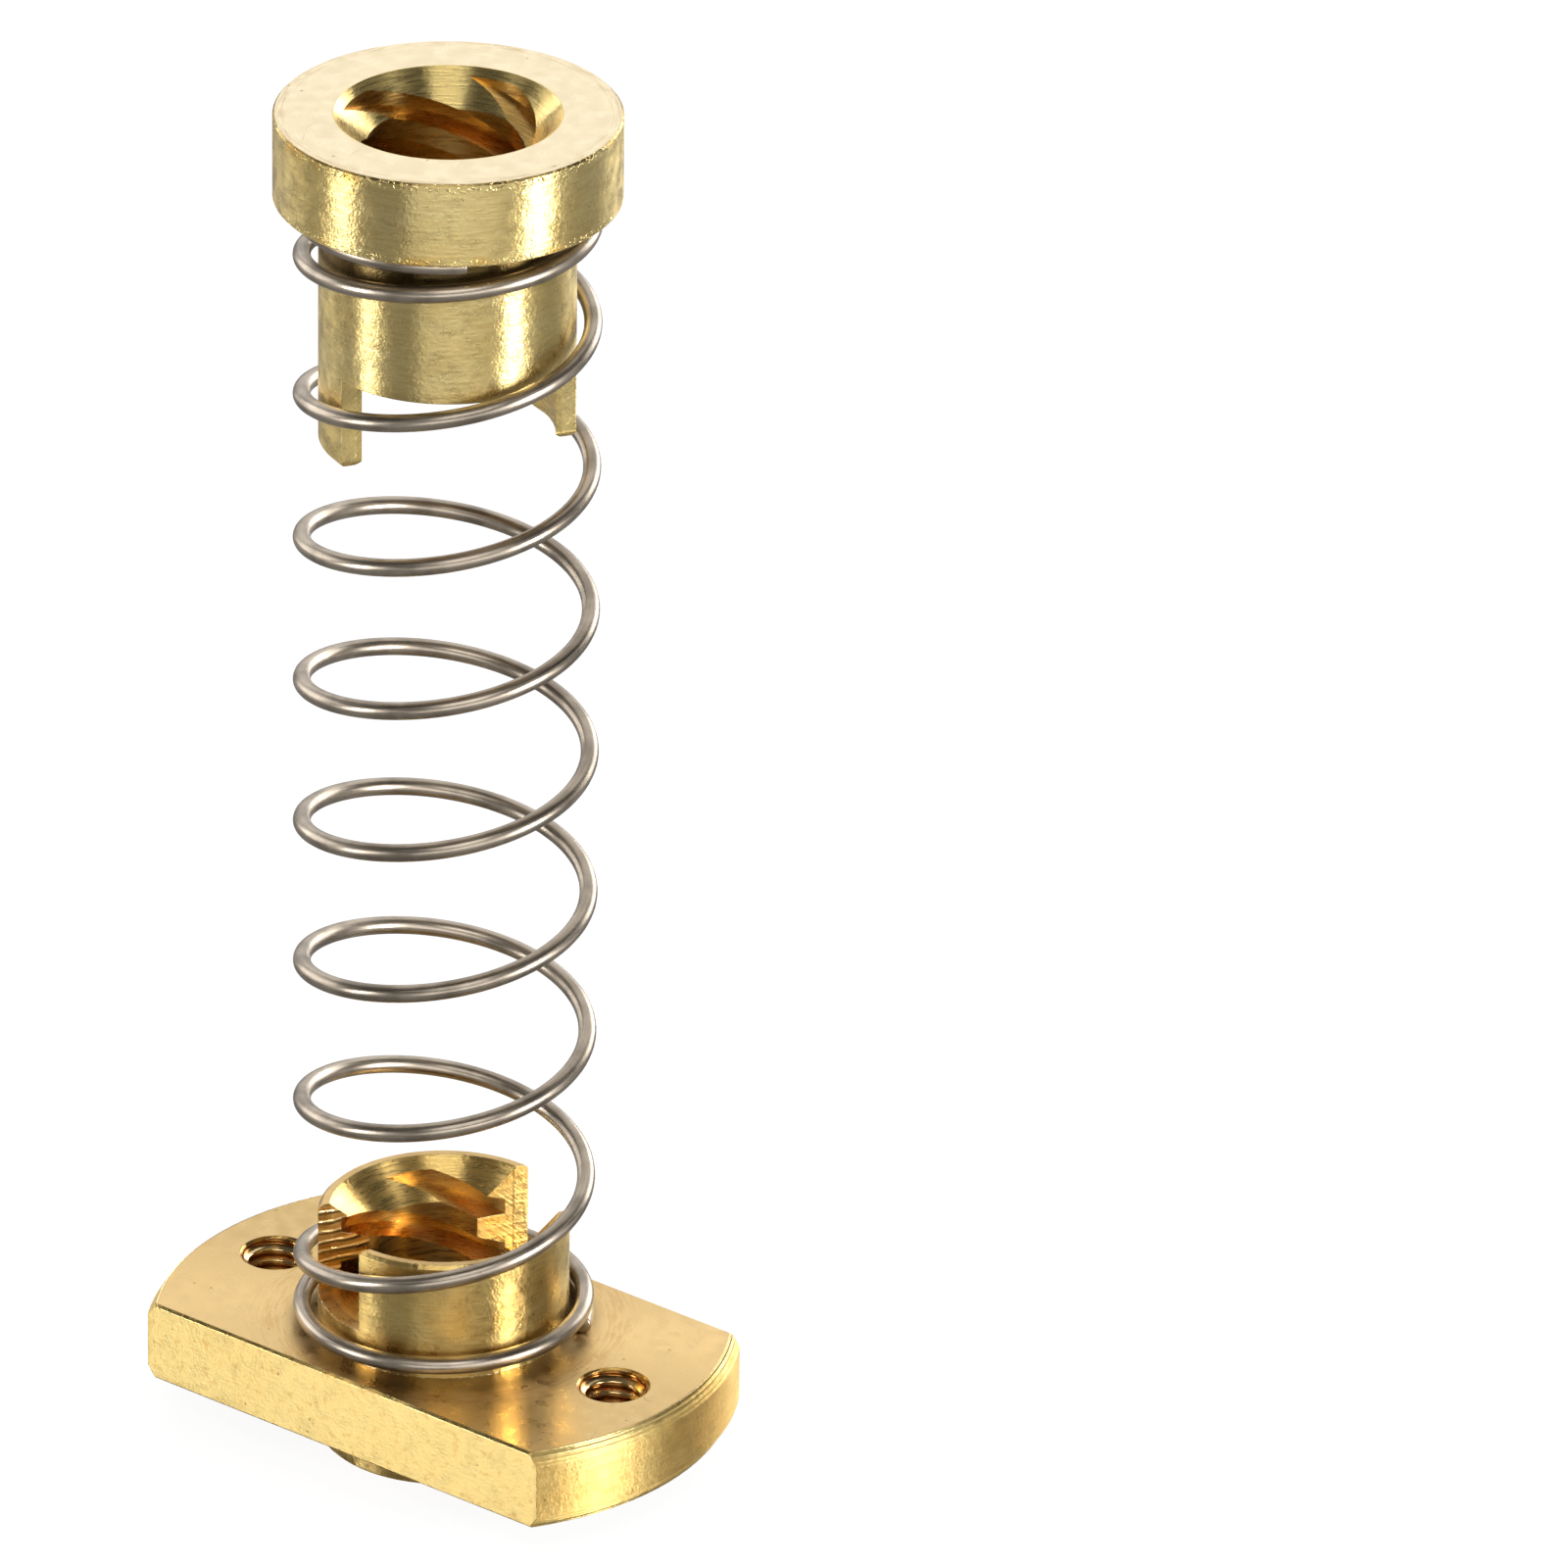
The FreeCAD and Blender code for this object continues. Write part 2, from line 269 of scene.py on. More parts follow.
# Camera, worked out from the outlines in the photograph
CAMERA_AZIMUTH = 39.14
CAMERA_ELEVATION = 26.56
CAMERA_DISTANCE = 0.6547
CAMERA_AIM = Vector((0.0, 0.0, 0.030))
FOCAL_PIXELS = 16726.0
IMAGE_PIXELS = 1600.0
AIM_PIXEL = (454.8, 782.4)
CAMERA_ROLL = 0.234
SENSOR_MM = 36.0
CLIP_NEAR = 0.01
CLIP_FAR = 20.0

# Lamps: name, degrees right of the camera, elevation, distance, width, height (m), brightness
LAMPS = (
    ("strip_left", -70.0, 6.0, 0.30, 0.065, 0.12, 13.0),
    ("strip_right", 58.5, 6.0, 0.30, 0.075, 0.12, 24.0),
    ("front", 5.0, 4.0, 0.30, 0.34, 0.09, 2.0),
    ("side_left", -122.0, 8.0, 0.35, 0.27, 0.22, 2.0),
    ("side_right", 136.0, 8.0, 0.35, 0.24, 0.22, 3.5),
    ("overhead", 180.0, 42.0, 0.6, 0.7, 0.7, 0.78),
    ("backdrop", 180.0, 6.0, 0.8, 1.0, 0.3, 0.57),
    ("above_front", 0.0, 48.0, 0.5, 0.28, 0.25, 2.0),
)
ROOM_BRIGHTNESS = 0.06
FLOOR_HALF_WIDTH = 1.5
FLOOR_GREY = 0.8
FLOOR_GLOW = 1.14
FLOOR_GLOW_SHARE = 0.8
FLOOR_IN_REFLECTIONS = 0.32
WATTS_PER_SQUARE_METRE = 4.0


def linear(hex_colour):
    """Linear RGBA of an sRGB hex colour such as #C8A04B."""
    channels = [int(hex_colour[i:i + 2], 16) / 255.0 for i in (1, 3, 5)]
    out = [c / 12.92 if c <= 0.04045 else ((c + 0.055) / 1.055) ** 2.4 for c in channels]
    return (*out, 1.0)


def grey(level):
    """Linear RGBA of a grey, from 0 for black to 1 for white."""
    return (level, level, level, 1.0)


class Graph:
    """Node tree of a material or of the world, with a short name for each kind of node."""

    def __init__(self, owner):
        owner.use_nodes = True
        self.tree = owner.node_tree
        self.tree.nodes.clear()

    def add(self, kind, inputs=None, **settings):
        """Adds a node; inputs maps a socket's name or number to what it is fed."""
        node = self.tree.nodes.new(kind)
        for key, value in settings.items():
            setattr(node, key, value)
        for key, value in (inputs or {}).items():
            self.feed(node.inputs[key], value)
        return node

    def feed(self, socket, value):
        """Links a socket to another one, or sets its own value."""
        if isinstance(value, bpy.types.NodeSocket):
            self.tree.links.new(value, socket)
        else:
            socket.default_value = value

    def maths(self, operation, a, b=0.0):
        """Result of one sum on two numbers."""
        return self.add("ShaderNodeMath", {0: a, 1: b}, operation=operation).outputs[0]

    def product(self, first, *others):
        """Product of numbers."""
        for other in others:
            first = self.maths("MULTIPLY", first, other)
        return first

    def total(self, first, *others):
        """Sum of numbers."""
        for other in others:
            first = self.maths("ADD", first, other)
        return first

    def remainder(self, value):
        """One less the value."""
        return self.maths("SUBTRACT", 1.0, value)

    def distance(self, a, b):
        """Difference of two numbers, without its sign."""
        return self.maths("ABSOLUTE", self.maths("SUBTRACT", a, b))

    def ramp(self, value, low, high, out_low=0.0, out_high=1.0):
        """Smooth step of a value from out_low at low to out_high at high."""
        sockets = {
            "Value": value, "From Min": low, "From Max": high, "To Min": out_low, "To Max": out_high}
        return self.add("ShaderNodeMapRange", sockets, interpolation_type="SMOOTHSTEP").outputs["Result"]

    def fall(self, value, low, high):
        """Smooth step of a value from 1 at low to 0 at high."""
        return self.ramp(value, low, high, 1.0, 0.0)

    def noise(self, place, scale, detail, roughness=0.5):
        """Value of a noise, with its scale in repeats per mm."""
        sockets = {"Vector": place, "Scale": scale, "Detail": detail, "Roughness": roughness}
        return self.add("ShaderNodeTexNoise", sockets).outputs["Fac"]

    def mix_value(self, factor, a, b):
        """Number a mixed with number b by a factor."""
        return self.add("ShaderNodeMix", {0: factor, 2: a, 3: b}).outputs[0]

    def mix_vector(self, factor, a, b):
        """Vector a mixed with vector b by a factor."""
        return self.add("ShaderNodeMix", {0: factor, 4: a, 5: b}, data_type="VECTOR").outputs[1]

    def mix_colour(self, factor, a, b):
        """Colour a mixed with colour b by a factor."""
        return self.add("ShaderNodeMix", {0: factor, 6: a, 7: b}, data_type="RGBA").outputs[2]

    def mix_shader(self, factor, a, b):
        """Shader a mixed with shader b by a factor."""
        return self.add("ShaderNodeMixShader", {0: factor, 1: a, 2: b}).outputs[0]

    def vector(self, x, y, z=0.0):
        """Vector made of three numbers."""
        return self.add("ShaderNodeCombineXYZ", {0: x, 1: y, 2: z}).outputs[0]

    def vector_maths(self, operation, a, b=(0.0, 0.0, 0.0)):
        """Vector that one sum on two vectors gives."""
        return self.add("ShaderNodeVectorMath", {0: a, 1: b}, operation=operation).outputs[0]

    def dot(self, a, b):
        """Product of the lengths of two vectors and the cosine between them."""
        sockets = {0: a, 1: b}
        return self.add("ShaderNodeVectorMath", sockets, operation="DOT_PRODUCT").outputs["Value"]

    def length(self, vector):
        """Length of a vector."""
        return self.add("ShaderNodeVectorMath", {0: vector}, operation="LENGTH").outputs["Value"]


class Metal(Graph):
    """Metal of one piece: a Principled shader and the place on the piece in millimetres."""

    def __init__(self, name):
        self.material = bpy.data.materials.new(name)
        super().__init__(self.material)
        self.shader = self.add("ShaderNodeBsdfPrincipled", {"Metallic": 1.0})
        self.add("ShaderNodeOutputMaterial", {"Surface": self.shader.outputs[0]})
        self.coords = self.add("ShaderNodeTexCoord")
        self.position = self.add(
            "ShaderNodeVectorMath", {0: self.coords.outputs["Object"], 3: 1.0 / MM},
            operation="SCALE").outputs[0]
        self.x, self.y, self.z = self.add("ShaderNodeSeparateXYZ", {0: self.position}).outputs

    def from_hole(self):
        """Distance from the axis of the nearer fixing hole."""
        off_x = self.maths("SUBTRACT", self.maths("ABSOLUTE", self.x), FIXING_HOLE_X)
        return self.length(self.vector(off_x, self.y))

    def surface(self, **values):
        """Feeds the shader's sockets, named with underscores, and returns the material."""
        for name, value in values.items():
            self.feed(self.shader.inputs[name.replace("_", " ")], value)
        return self.material


class TurnedBrass(Metal):
    """Leaded brass turned on a lathe: satin, with short rings round the axis.

    The rings stretch each reflection along the axis, into soft upright bands. Each method
    adds one layer to the colour, to the height of the marks or to the roughness.
    """

    def __init__(self, name, sizes, tones):
        super().__init__(name)
        self.sizes = sizes
        self.pale, self.warm, self.faced, self.deep = [linear(tone) for tone in tones.split()]
        flat_place = self.vector(self.x, self.y)
        self.radius = self.length(flat_place)
        self.upright = self.facing((0.0, 0.0, 1.0))
        self.side_on = self.facing(self.vector_maths("NORMALIZE", flat_place))
        self.level = self.ramp(self.upright, *LEVEL_FACE)
        self.in_bore = self.fall(self.radius, *BORE_MOUTH)
        self.burr = self.noise(self.position, 1.0 / sizes.burr_mm, BURR_DETAIL)
        self.stain = 0.0
        self.painted_reflection = 0.0
        self.slot_face = 0.0
        self.flat = 0.0
        self.rim_rough = 0.0
        self.crisp = 0.0
        self.tangent = self.vector_maths("CROSS_PRODUCT", (0.0, 0.0, 1.0), self.coords.outputs["Object"])

    def facing(self, direction):
        """How far the surface faces a direction: 1 towards it, 0 across and -1 away."""
        return self.dot(self.coords.outputs["Normal"], direction)

    def cover(self, factor, tone):
        """Lays a tone over the colour by a factor."""
        self.colour = self.mix_colour(factor, self.colour, tone)

    def lay_marks(self):
        """Marks of the turning tool, long round the axis and short along the surface, and grain.

        Level faces have weaker ones, apart from a ring round the spring's foot.
        """
        sizes = self.sizes
        stretched = self.vector(
            self.product(self.x, RING_STRETCH), self.product(self.y, RING_STRETCH),
            self.total(self.z, self.radius))
        self.rings = self.noise(stretched, 1.0 / sizes.turning_mark_mm, *RING_DETAIL)
        self.fine = self.noise(self.position, 1.0 / sizes.grain_mm, GRAIN_DETAIL)
        coarse = self.noise(self.position, COARSE_PER_FINE / sizes.grain_mm, GRAIN_DETAIL)
        grain = self.total(
            self.product(self.fine, self.mix_value(self.in_bore, *FINE_GRAIN)),
            self.product(coarse, self.mix_value(self.in_bore, *COARSE_GRAIN)))
        grain = self.product(grain, self.mix_value(self.level, 1.0, LEVEL_GRAIN))
        by_spring = self.product(
            self.ramp(self.radius, *SPRING_MARKS_START), self.fall(self.radius, *SPRING_MARKS_END))
        ring_height = self.mix_value(self.level, WALL_RINGS, self.mix_value(by_spring, *LEVEL_RINGS))
        self.height = self.total(self.product(self.rings, ring_height), grain)
        self.streak = self.product(
            self.ramp(self.rings, *STREAK_RANGE),
            self.mix_value(self.level, 1.0, self.mix_value(by_spring, *LEVEL_STREAKS)))

    def knock_edges(self, edges_z):
        """Burr and small knocks on the walls beside the edges at some heights, with oily stains."""
        knocks = self.ramp(self.burr, *KNOCK_RANGE)
        outer_wall = self.remainder(self.maths("MAXIMUM", self.level, self.in_bore))
        patchy = self.noise(self.position, *STAIN_PATCHES)
        patches = self.ramp(patchy, *STAIN_RANGE, 0.0, STAIN_COVER)
        wall = self.remainder(self.level)
        for edge_z in edges_z:
            off_edge = self.distance(self.z, edge_z)
            knock = self.product(knocks, self.fall(off_edge, *KNOCK_REACH), outer_wall)
            self.height = self.total(self.height, self.product(knock, KNOCK_HEIGHT))
            stain = self.product(patches, self.fall(off_edge, *STAIN_REACH), wall)
            self.stain = self.maths("MAXIMUM", self.stain, stain)

    def face_level(self):
        """Runs the marks of the level faces along X."""
        self.tangent = self.mix_vector(self.level, self.tangent, (1.0, 0.0, 0.0))

    def mill_flats(self):
        """Straight cutter marks along X on the plate's flats, and ridges on its broken rim."""
        sizes = self.sizes
        # Painted reflection: the mouths of the fixing holes and the boss get a browner tone for the brass
        # they mirror
        mouth = self.product(self.fall(self.from_hole(), *HOLE_MOUTH), MOUTH_COVER)
        on_boss = self.product(self.maths("GREATER_THAN", self.z, PLATE_TOP_Z + ABOVE_PLATE), BOSS_COVER)
        self.painted_reflection = self.maths("MAXIMUM", mouth, on_boss)
        self.flat = self.ramp(self.maths("ABSOLUTE", self.y), *MILLED_FLAT)
        stretched = self.vector(self.product(self.x, MILLING_STRETCH), self.y, self.z)
        milled = self.noise(stretched, 1.0 / sizes.milling_mark_mm, *MILLED_DETAIL)
        ridges = self.maths("SINE", self.product(self.radius, FULL_TURN / sizes.rim_ridge_mm))
        on_ridges = self.product(
            self.ramp(self.radius, *RIM_RIDGES_START), self.fall(self.radius, *RIM_RIDGES_END))
        turned = self.total(self.height, self.product(ridges, on_ridges, RIM_RIDGE_HEIGHT))
        cut = self.product(self.total(milled, self.fine), MILLED_HEIGHT)
        self.height = self.mix_value(self.flat, turned, cut)
        milled_streak = self.ramp(milled, *MILLED_RANGE, 0.0, MILLED_STREAKS)
        self.streak = self.mix_value(self.flat, self.streak, milled_streak)
        self.tangent = self.mix_vector(self.flat, self.tangent, (1.0, 0.0, 0.0))
        self.rim_rough = self.ramp(self.radius, *RIM_BAND, 0.0, RIM_ROUGHNESS)
        self.crisp = CRISP_MILLED_EDGES

    def lay_tones(self):
        """Cloudy tone, with painted light on the faces square to the axis, which makes them paler,
        and painted shade deeper on the bore's walls.

        The boss mirrors the plate and the mouths of the fixing holes mirror themselves, so a
        painted reflection makes these browner.
        """
        sizes = self.sizes
        clouds = self.ramp(self.noise(self.position, *TONE_CLOUDS), *CLOUD_RANGE)
        self.colour = self.mix_colour(clouds, self.pale, self.warm)
        # Painted light: the level faces outside the bore get their own tone for how the light falls on them
        self.cover(self.product(self.level, self.ramp(self.radius, *OUTSIDE_BORE)), self.faced)
        across = self.maths("MAXIMUM", self.product(self.side_on, -1.0), self.maths("ABSOLUTE", self.upright))
        groove = self.ramp(self.radius, *THREAD_GROOVE, CREST_COVER, 1.0)
        # Painted shade deep in the thread's grooves, weaker on the crests
        self.bore = self.product(
            self.fall(self.radius, *BORE_ROOTS), groove, self.ramp(across, *BORE_FACE))
        self.cover(self.bore, self.deep)
        self.cover(self.product(self.streak, STREAK_COVER), linear(sizes.streak_brown))
        self.cover(self.stain, linear(sizes.stain_yellow))
        # Painted reflection of brass in brass
        self.cover(self.painted_reflection, linear(sizes.reflection_brown))

    def cut_slot(self, angle_deg, half_width, floor_z):
        """Chatter that the cutter left on the slot's faces, coarsest where it went in."""
        sizes = self.sizes
        angle = math.radians(angle_deg)
        across = (-math.sin(angle), math.cos(angle), 0.0)
        off_middle = self.maths("ABSOLUTE", self.dot(self.position, across))
        in_slot = self.product(
            self.maths("LESS_THAN", off_middle, half_width + SLOT_MARGIN),
            self.maths("GREATER_THAN", self.z, floor_z))
        squarely = self.maths("ABSOLUTE", self.facing(across))
        self.slot_face = self.product(self.ramp(squarely, *SLOT_FACE), in_slot)
        wander = self.product(self.noise(self.position, *CHATTER_WANDER), WANDER_RADIANS)
        turn = self.total(self.product(self.z, FULL_TURN / sizes.chatter_mm), wander)
        wave = self.product(self.total(self.maths("SINE", turn), 1.0), 0.5)
        chatter = self.product(
            self.maths("POWER", wave, CHATTER_SHARPNESS),
            self.ramp(self.y, *CUTTER_PATH_Y, *CHATTER_ALONG_CUT))
        self.height = self.total(self.height, self.product(chatter, self.slot_face, CHATTER_HEIGHT))
        # The chatter's crests get the pale tone of the painted glints, the rest the deep tone
        tone = self.mix_colour(
            self.product(chatter, CHATTER_COVER), self.deep, linear(sizes.burr_and_glint_pale))
        self.cover(self.product(self.slot_face, self.ramp(self.y, *CUTTER_PATH_Y, *SLOT_COVER)), tone)

    def paint_shade(self, low_z, high_z, inner_r, outer_r, strength):
        """Painted shade beside the spring, between two heights and radii."""
        dark = self.product(
            self.ramp(self.z, low_z - SHADE_FADE_DOWN, low_z, 0.0, strength),
            self.fall(self.z, high_z, high_z + SHADE_FADE_UP),
            self.ramp(self.radius, inner_r - SHADE_FADE_IN[0], inner_r - SHADE_FADE_IN[1]),
            self.fall(self.radius, outer_r, outer_r + SHADE_FADE_OUT))
        self.cover(dark, linear(self.sizes.shade_brown))

    def speckle_cuts(self):
        """Paler tone of the milled flats, with small brown specks where the cutter dragged."""
        brown = linear(self.sizes.streak_brown)
        self.cover(self.product(self.flat, MILLED_COVER), linear(self.sizes.milled_pale))
        speck = self.ramp(self.noise(self.position, *DRAG_SPECKS), *SPECK_RANGE, *SPECK_COVER)
        self.cover(self.product(speck, self.flat), brown)
        on_rim = self.ramp(self.radius, *RIM_BAND, 0.0, RIM_COVER)
        self.cover(self.product(on_rim, self.ramp(self.side_on, *RIM_WALL)), brown)

    def scratches(self):
        """Rare thin scratches: where a smooth noise passes its middle, broken up by another."""
        moved = self.vector_maths("ADD", self.position, SCRATCH_SHIFT)
        off_middle = self.distance(self.noise(moved, *SCRATCH_PATHS), 0.5)
        parts = self.ramp(self.noise(moved, *SCRATCH_PARTS), *SCRATCH_RANGE)
        return self.product(self.fall(off_middle, *SCRATCH_WIDTH), parts)

    def wear_and_edge_shade(self):
        """Scratches, pits such as leaded brass has, and edges broken by the tool.

        The narrow broken edges that face up and outwards get painted shade, dark beside the bright faces.
        """
        sizes = self.sizes
        cells = self.add(
            "ShaderNodeTexVoronoi", {"Vector": self.position, "Scale": 1.0 / sizes.pit_spacing_mm})
        chance = self.add("ShaderNodeSeparateColor", {0: cells.outputs["Color"]}).outputs[0]
        pit = self.product(
            self.fall(cells.outputs["Distance"], *PIT_SIZE), self.ramp(chance, *PIT_CHANCE), PIT_COVER)
        worn = self.maths("MAXIMUM", pit, self.product(self.scratches(), SCRATCH_COVER))
        self.cover(self.product(worn, self.remainder(self.in_bore)), linear(sizes.pit_brown))
        # Painted shade on the narrow broken edges that face up and outwards
        slant = self.maths("MINIMUM", self.upright, self.side_on)
        broken = self.product(
            self.ramp(slant, *BROKEN_EDGE), self.ramp(self.radius, *OUTSIDE_BOSS), BROKEN_COVER)
        self.cover(broken, linear(sizes.edge_brown))

    def round_edges(self):
        """Edges shaded round and rougher, with painted glints: bright flecks of burr between duller places.
        """
        sizes = self.sizes
        bevel = self.add(
            "ShaderNodeBevel", {"Radius": sizes.edge_round_mm * MM}, samples=BEVEL_SAMPLES)
        self.rounded = bevel.outputs[0]
        self.normal = self.add("ShaderNodeNewGeometry").outputs["Normal"]
        edge = self.fall(self.dot(self.rounded, self.normal), *ROUNDED_EDGE)
        # Painted glints: bright flecks of burr on the edges
        fleck = self.ramp(self.burr, *FLECK_RANGE)
        self.cover(self.product(edge, fleck), linear(sizes.burr_and_glint_pale))
        dull = self.product(edge, self.remainder(fleck), DULL_EDGE_COVER)
        self.cover(dull, linear(sizes.streak_brown))
        clouds = self.noise(self.position, *ROUGHNESS_CLOUDS)
        cloudy = self.ramp(clouds, *CLOUD_RANGE, *CLOUDY_ROUGHNESS)
        milled = self.maths("MAXIMUM", self.product(self.flat, MILLED_ROUGHNESS), self.rim_rough)
        self.roughness = self.total(
            cloudy, self.product(edge, EDGE_ROUGHNESS), sizes.brass_roughness, milled)

    def clean_bore(self):
        """Bore: cleaner and brighter than the outside, with the tool's rings, and painted shade deep in the
        thread's grooves.
        """
        bored = self.product(self.in_bore, self.remainder(self.slot_face))
        # Painted shade: the deep tone in the thread's grooves
        self.cover(bored, self.mix_colour(self.bore, self.warm, self.deep))
        ringed = self.ramp(self.rings, *BORE_RING_RANGE, *BORE_ROUGHNESS)
        self.roughness = self.mix_value(bored, self.roughness, ringed)
        crisp = self.maths("MAXIMUM", bored, self.crisp)
        self.rounded = self.mix_vector(crisp, self.rounded, self.normal)

    def finished(self):
        """Feeds the shader and returns the material."""
        bump = self.add("ShaderNodeBump", {
            "Strength": 1.0, "Distance": self.sizes.mark_depth_mm * MM, "Height": self.height,
            "Normal": self.rounded})
        return self.surface(
            Base_Color=self.colour, Roughness=self.roughness, Normal=bump.outputs[0],
            Tangent=self.tangent, Anisotropic=ALONG_MARKS, Anisotropic_Rotation=QUARTER_TURN)


def flange_brass(sizes):
    """Leaded brass of the flange nut: turned, its flats milled and its slots cut.

    The turned faces are satin with upright bands, the flats duller with straight lines.
    """
    brass = TurnedBrass("brass_turned_and_milled", sizes, sizes.flange_tones)
    brass.lay_marks()
    brass.mill_flats()
    brass.lay_tones()
    brass.cut_slot(SLOT_ANGLE_DEG, SLOT_HALF_WIDTH, SLOT_FLOOR_Z)
    # Painted shade round the spring's foot on the plate
    brass.paint_shade(*PLATE_SHADE)
    brass.speckle_cuts()
    brass.wear_and_edge_shade()
    brass.round_edges()
    brass.clean_bore()
    return brass.finished()


def collar_brass(sizes):
    """Leaded brass of the collar nut: turned, so satin with upright bands and knocked edges."""
    brass = TurnedBrass("brass_turned", sizes, sizes.collar_tones)
    brass.lay_marks()
    brass.knock_edges((COLLAR_TOP_Z, COLLAR_BOTTOM_Z))
    brass.face_level()
    brass.lay_tones()
    # Painted shade just under the collar
    brass.paint_shade(*COLLAR_SHADE)
    brass.wear_and_edge_shade()
    brass.round_edges()
    brass.clean_bore()
    return brass.finished()


def tapped_brass(sizes):
    """Brass inside a tapped hole: it mirrors itself, so painted shade makes it deep brown towards the thread
    roots.
    """
    brass = Metal("brass_tapped")
    # Painted shade: darker towards the thread roots
    depth = brass.ramp(brass.from_hole(), *HOLE_WALL)
    colour = brass.mix_colour(depth, linear(sizes.tapped_light), linear(sizes.tapped_dark))
    return brass.surface(Base_Color=colour, Roughness=TAPPED_ROUGHNESS)


def drawn_wire(sizes):
    """Drawn spring wire: bright grey steel with die lines along the wire.

    The wire's own map runs round the section in U and along the wire, in mm, in V.
    """
    steel = Metal("steel_drawn_wire")
    place = steel.add("ShaderNodeUVMap", uv_map="wire").outputs[0]
    round_wire, along_wire, _unused = steel.add("ShaderNodeSeparateXYZ", {0: place}).outputs
    stretched = steel.vector(
        steel.product(round_wire, LINES_ROUND_WIRE), steel.product(along_wire, LINES_ALONG_WIRE))
    lines = steel.noise(stretched, 1.0, *DIE_LINE_DETAIL)
    tone = steel.ramp(steel.noise(steel.position, *WIRE_CLOUDS), *WIRE_CLOUD_RANGE)
    colour = steel.mix_colour(tone, linear(sizes.wire_light), linear(sizes.wire_dark))
    bump = steel.add(
        "ShaderNodeBump",
        {"Strength": DIE_LINE_STRENGTH, "Distance": DIE_LINE_DEPTH_MM * MM, "Height": lines})
    return steel.surface(
        Base_Color=colour, Roughness=steel.ramp(lines, *DIE_LINE_RANGE, *WIRE_ROUGHNESS),
        Normal=bump.outputs[0])


def mesh_object(name, points, faces):
    """New object at the origin with a smooth mesh of the given points (metres) and faces."""
    mesh = bpy.data.meshes.new(name)
    mesh.from_pydata(points.reshape(-1, 3).tolist(), [], faces)
    mesh.polygons.foreach_set("use_smooth", np.ones(len(mesh.polygons), bool))
    mesh.update()
    made = bpy.data.objects.new(name, mesh)
    bpy.context.scene.collection.objects.link(made)
    return made


def grid_quads(rows, columns, wrap_rows):
    """Quads of a grid that closes on itself across, and also along if wrap_rows is set."""
    row = np.arange(rows if wrap_rows else rows - 1)[:, None]
    column = np.arange(columns)[None, :]
    up = (row + 1) % rows
    across = (column + 1) % columns
    corners = [row * columns + column, row * columns + across, up * columns + across, up * columns + column]
    return np.stack(corners, axis=-1).reshape(-1, 4)


def ramp_area(turns, start, width):
    """Area under a smooth step from 0 to 1: w (u^3 - u^4 / 2) on the step, then a straight line."""
    u = np.clip((turns - start) / width, 0.0, 1.0)
    return width * (u ** 3 - u ** 4 / 2.0) + np.maximum(turns - start - width, 0.0)


def open_turns(turns):
    """Turns passed at the open pitch, without the closed ones at both ends."""
    upper_start = SPRING_TURNS - CLOSED_TURNS_ABOVE - PITCH_CHANGE_ABOVE
    opened = ramp_area(turns, CLOSED_TURNS_BELOW, PITCH_CHANGE_BELOW)
    return opened - ramp_area(turns, upper_start, PITCH_CHANGE_ABOVE)


def first_turn_share(turns):
    """Smooth step from 0 to 1 over the first open turn, which stands a little wider."""
    u = np.clip((turns - CLOSED_TURNS_BELOW) / FIRST_TURN_RUN, 0.0, 1.0)
    return u * u * (3.0 - 2.0 * u)


class SpringPath:
    """Middle of the spring's wire: a helix whose pitch opens and closes smoothly, in mm."""

    def __init__(self, wire_mm):
        self.wire_r = wire_mm / 2.0
        self.coil_r = (SPRING_HIGH.x - SPRING_LOW.x) / MM / 2.0 - self.wire_r
        self.low = SPRING_LOW.z / MM + self.wire_r
        self.closed_pitch = wire_mm + CLOSED_PITCH_CLEARANCE
        rise = (SPRING_HIGH.z - SPRING_LOW.z) / MM - wire_mm
        opened = rise - FIRST_TURN_EXTRA - self.closed_pitch * SPRING_TURNS
        self.open_pitch_extra = opened / open_turns(np.array(SPRING_TURNS))

    def gaps(self, turns):
        """Height that the gaps between the open turns add up to, which the slide presses out."""
        return self.open_pitch_extra * open_turns(turns) + FIRST_TURN_EXTRA * first_turn_share(turns)

    def centre(self, turns):
        """Middle of the wire: (c cos a, c sin a, height), for the coil's radius c and angle a."""
        angle = math.radians(SPRING_START_DEG) + FULL_TURN * turns
        height = self.low + self.closed_pitch * turns + self.gaps(turns)
        return np.stack([self.coil_r * np.cos(angle), self.coil_r * np.sin(angle), height], axis=-1)

    def directions(self, turns):
        """Unit directions square to the wire: outward from the axis, and upward."""
        run = self.centre(turns + DIRECTION_STEP_TURNS) - self.centre(turns - DIRECTION_STEP_TURNS)
        run /= np.linalg.norm(run, axis=1, keepdims=True)
        outward = self.centre(turns) * [1.0, 1.0, 0.0] / self.coil_r
        upward = np.cross(run, outward)
        upward /= np.linalg.norm(upward, axis=1, keepdims=True)
        return np.cross(upward, run), upward


def map_wire(wire, sides, length):
    """Map of the wire: U round the section, and V the length along the wire in mm."""
    layer = wire.data.uv_layers.new(name="wire")
    loops = np.zeros(len(wire.data.loops), np.int32)
    wire.data.loops.foreach_get("vertex_index", loops)
    round_section = (loops % sides) / sides
    quad_loops = 4 * (len(length) - 1) * sides
    first = loops[:quad_loops].reshape(-1, 4) % sides
    wrapped = (first == 0) & (first.max(axis=1, keepdims=True) == sides - 1)
    round_section[:quad_loops] += wrapped.reshape(-1)
    uv = np.stack([round_section, length[loops // sides]], axis=-1)
    layer.data.foreach_set("uv", uv.astype(np.float32).ravel())


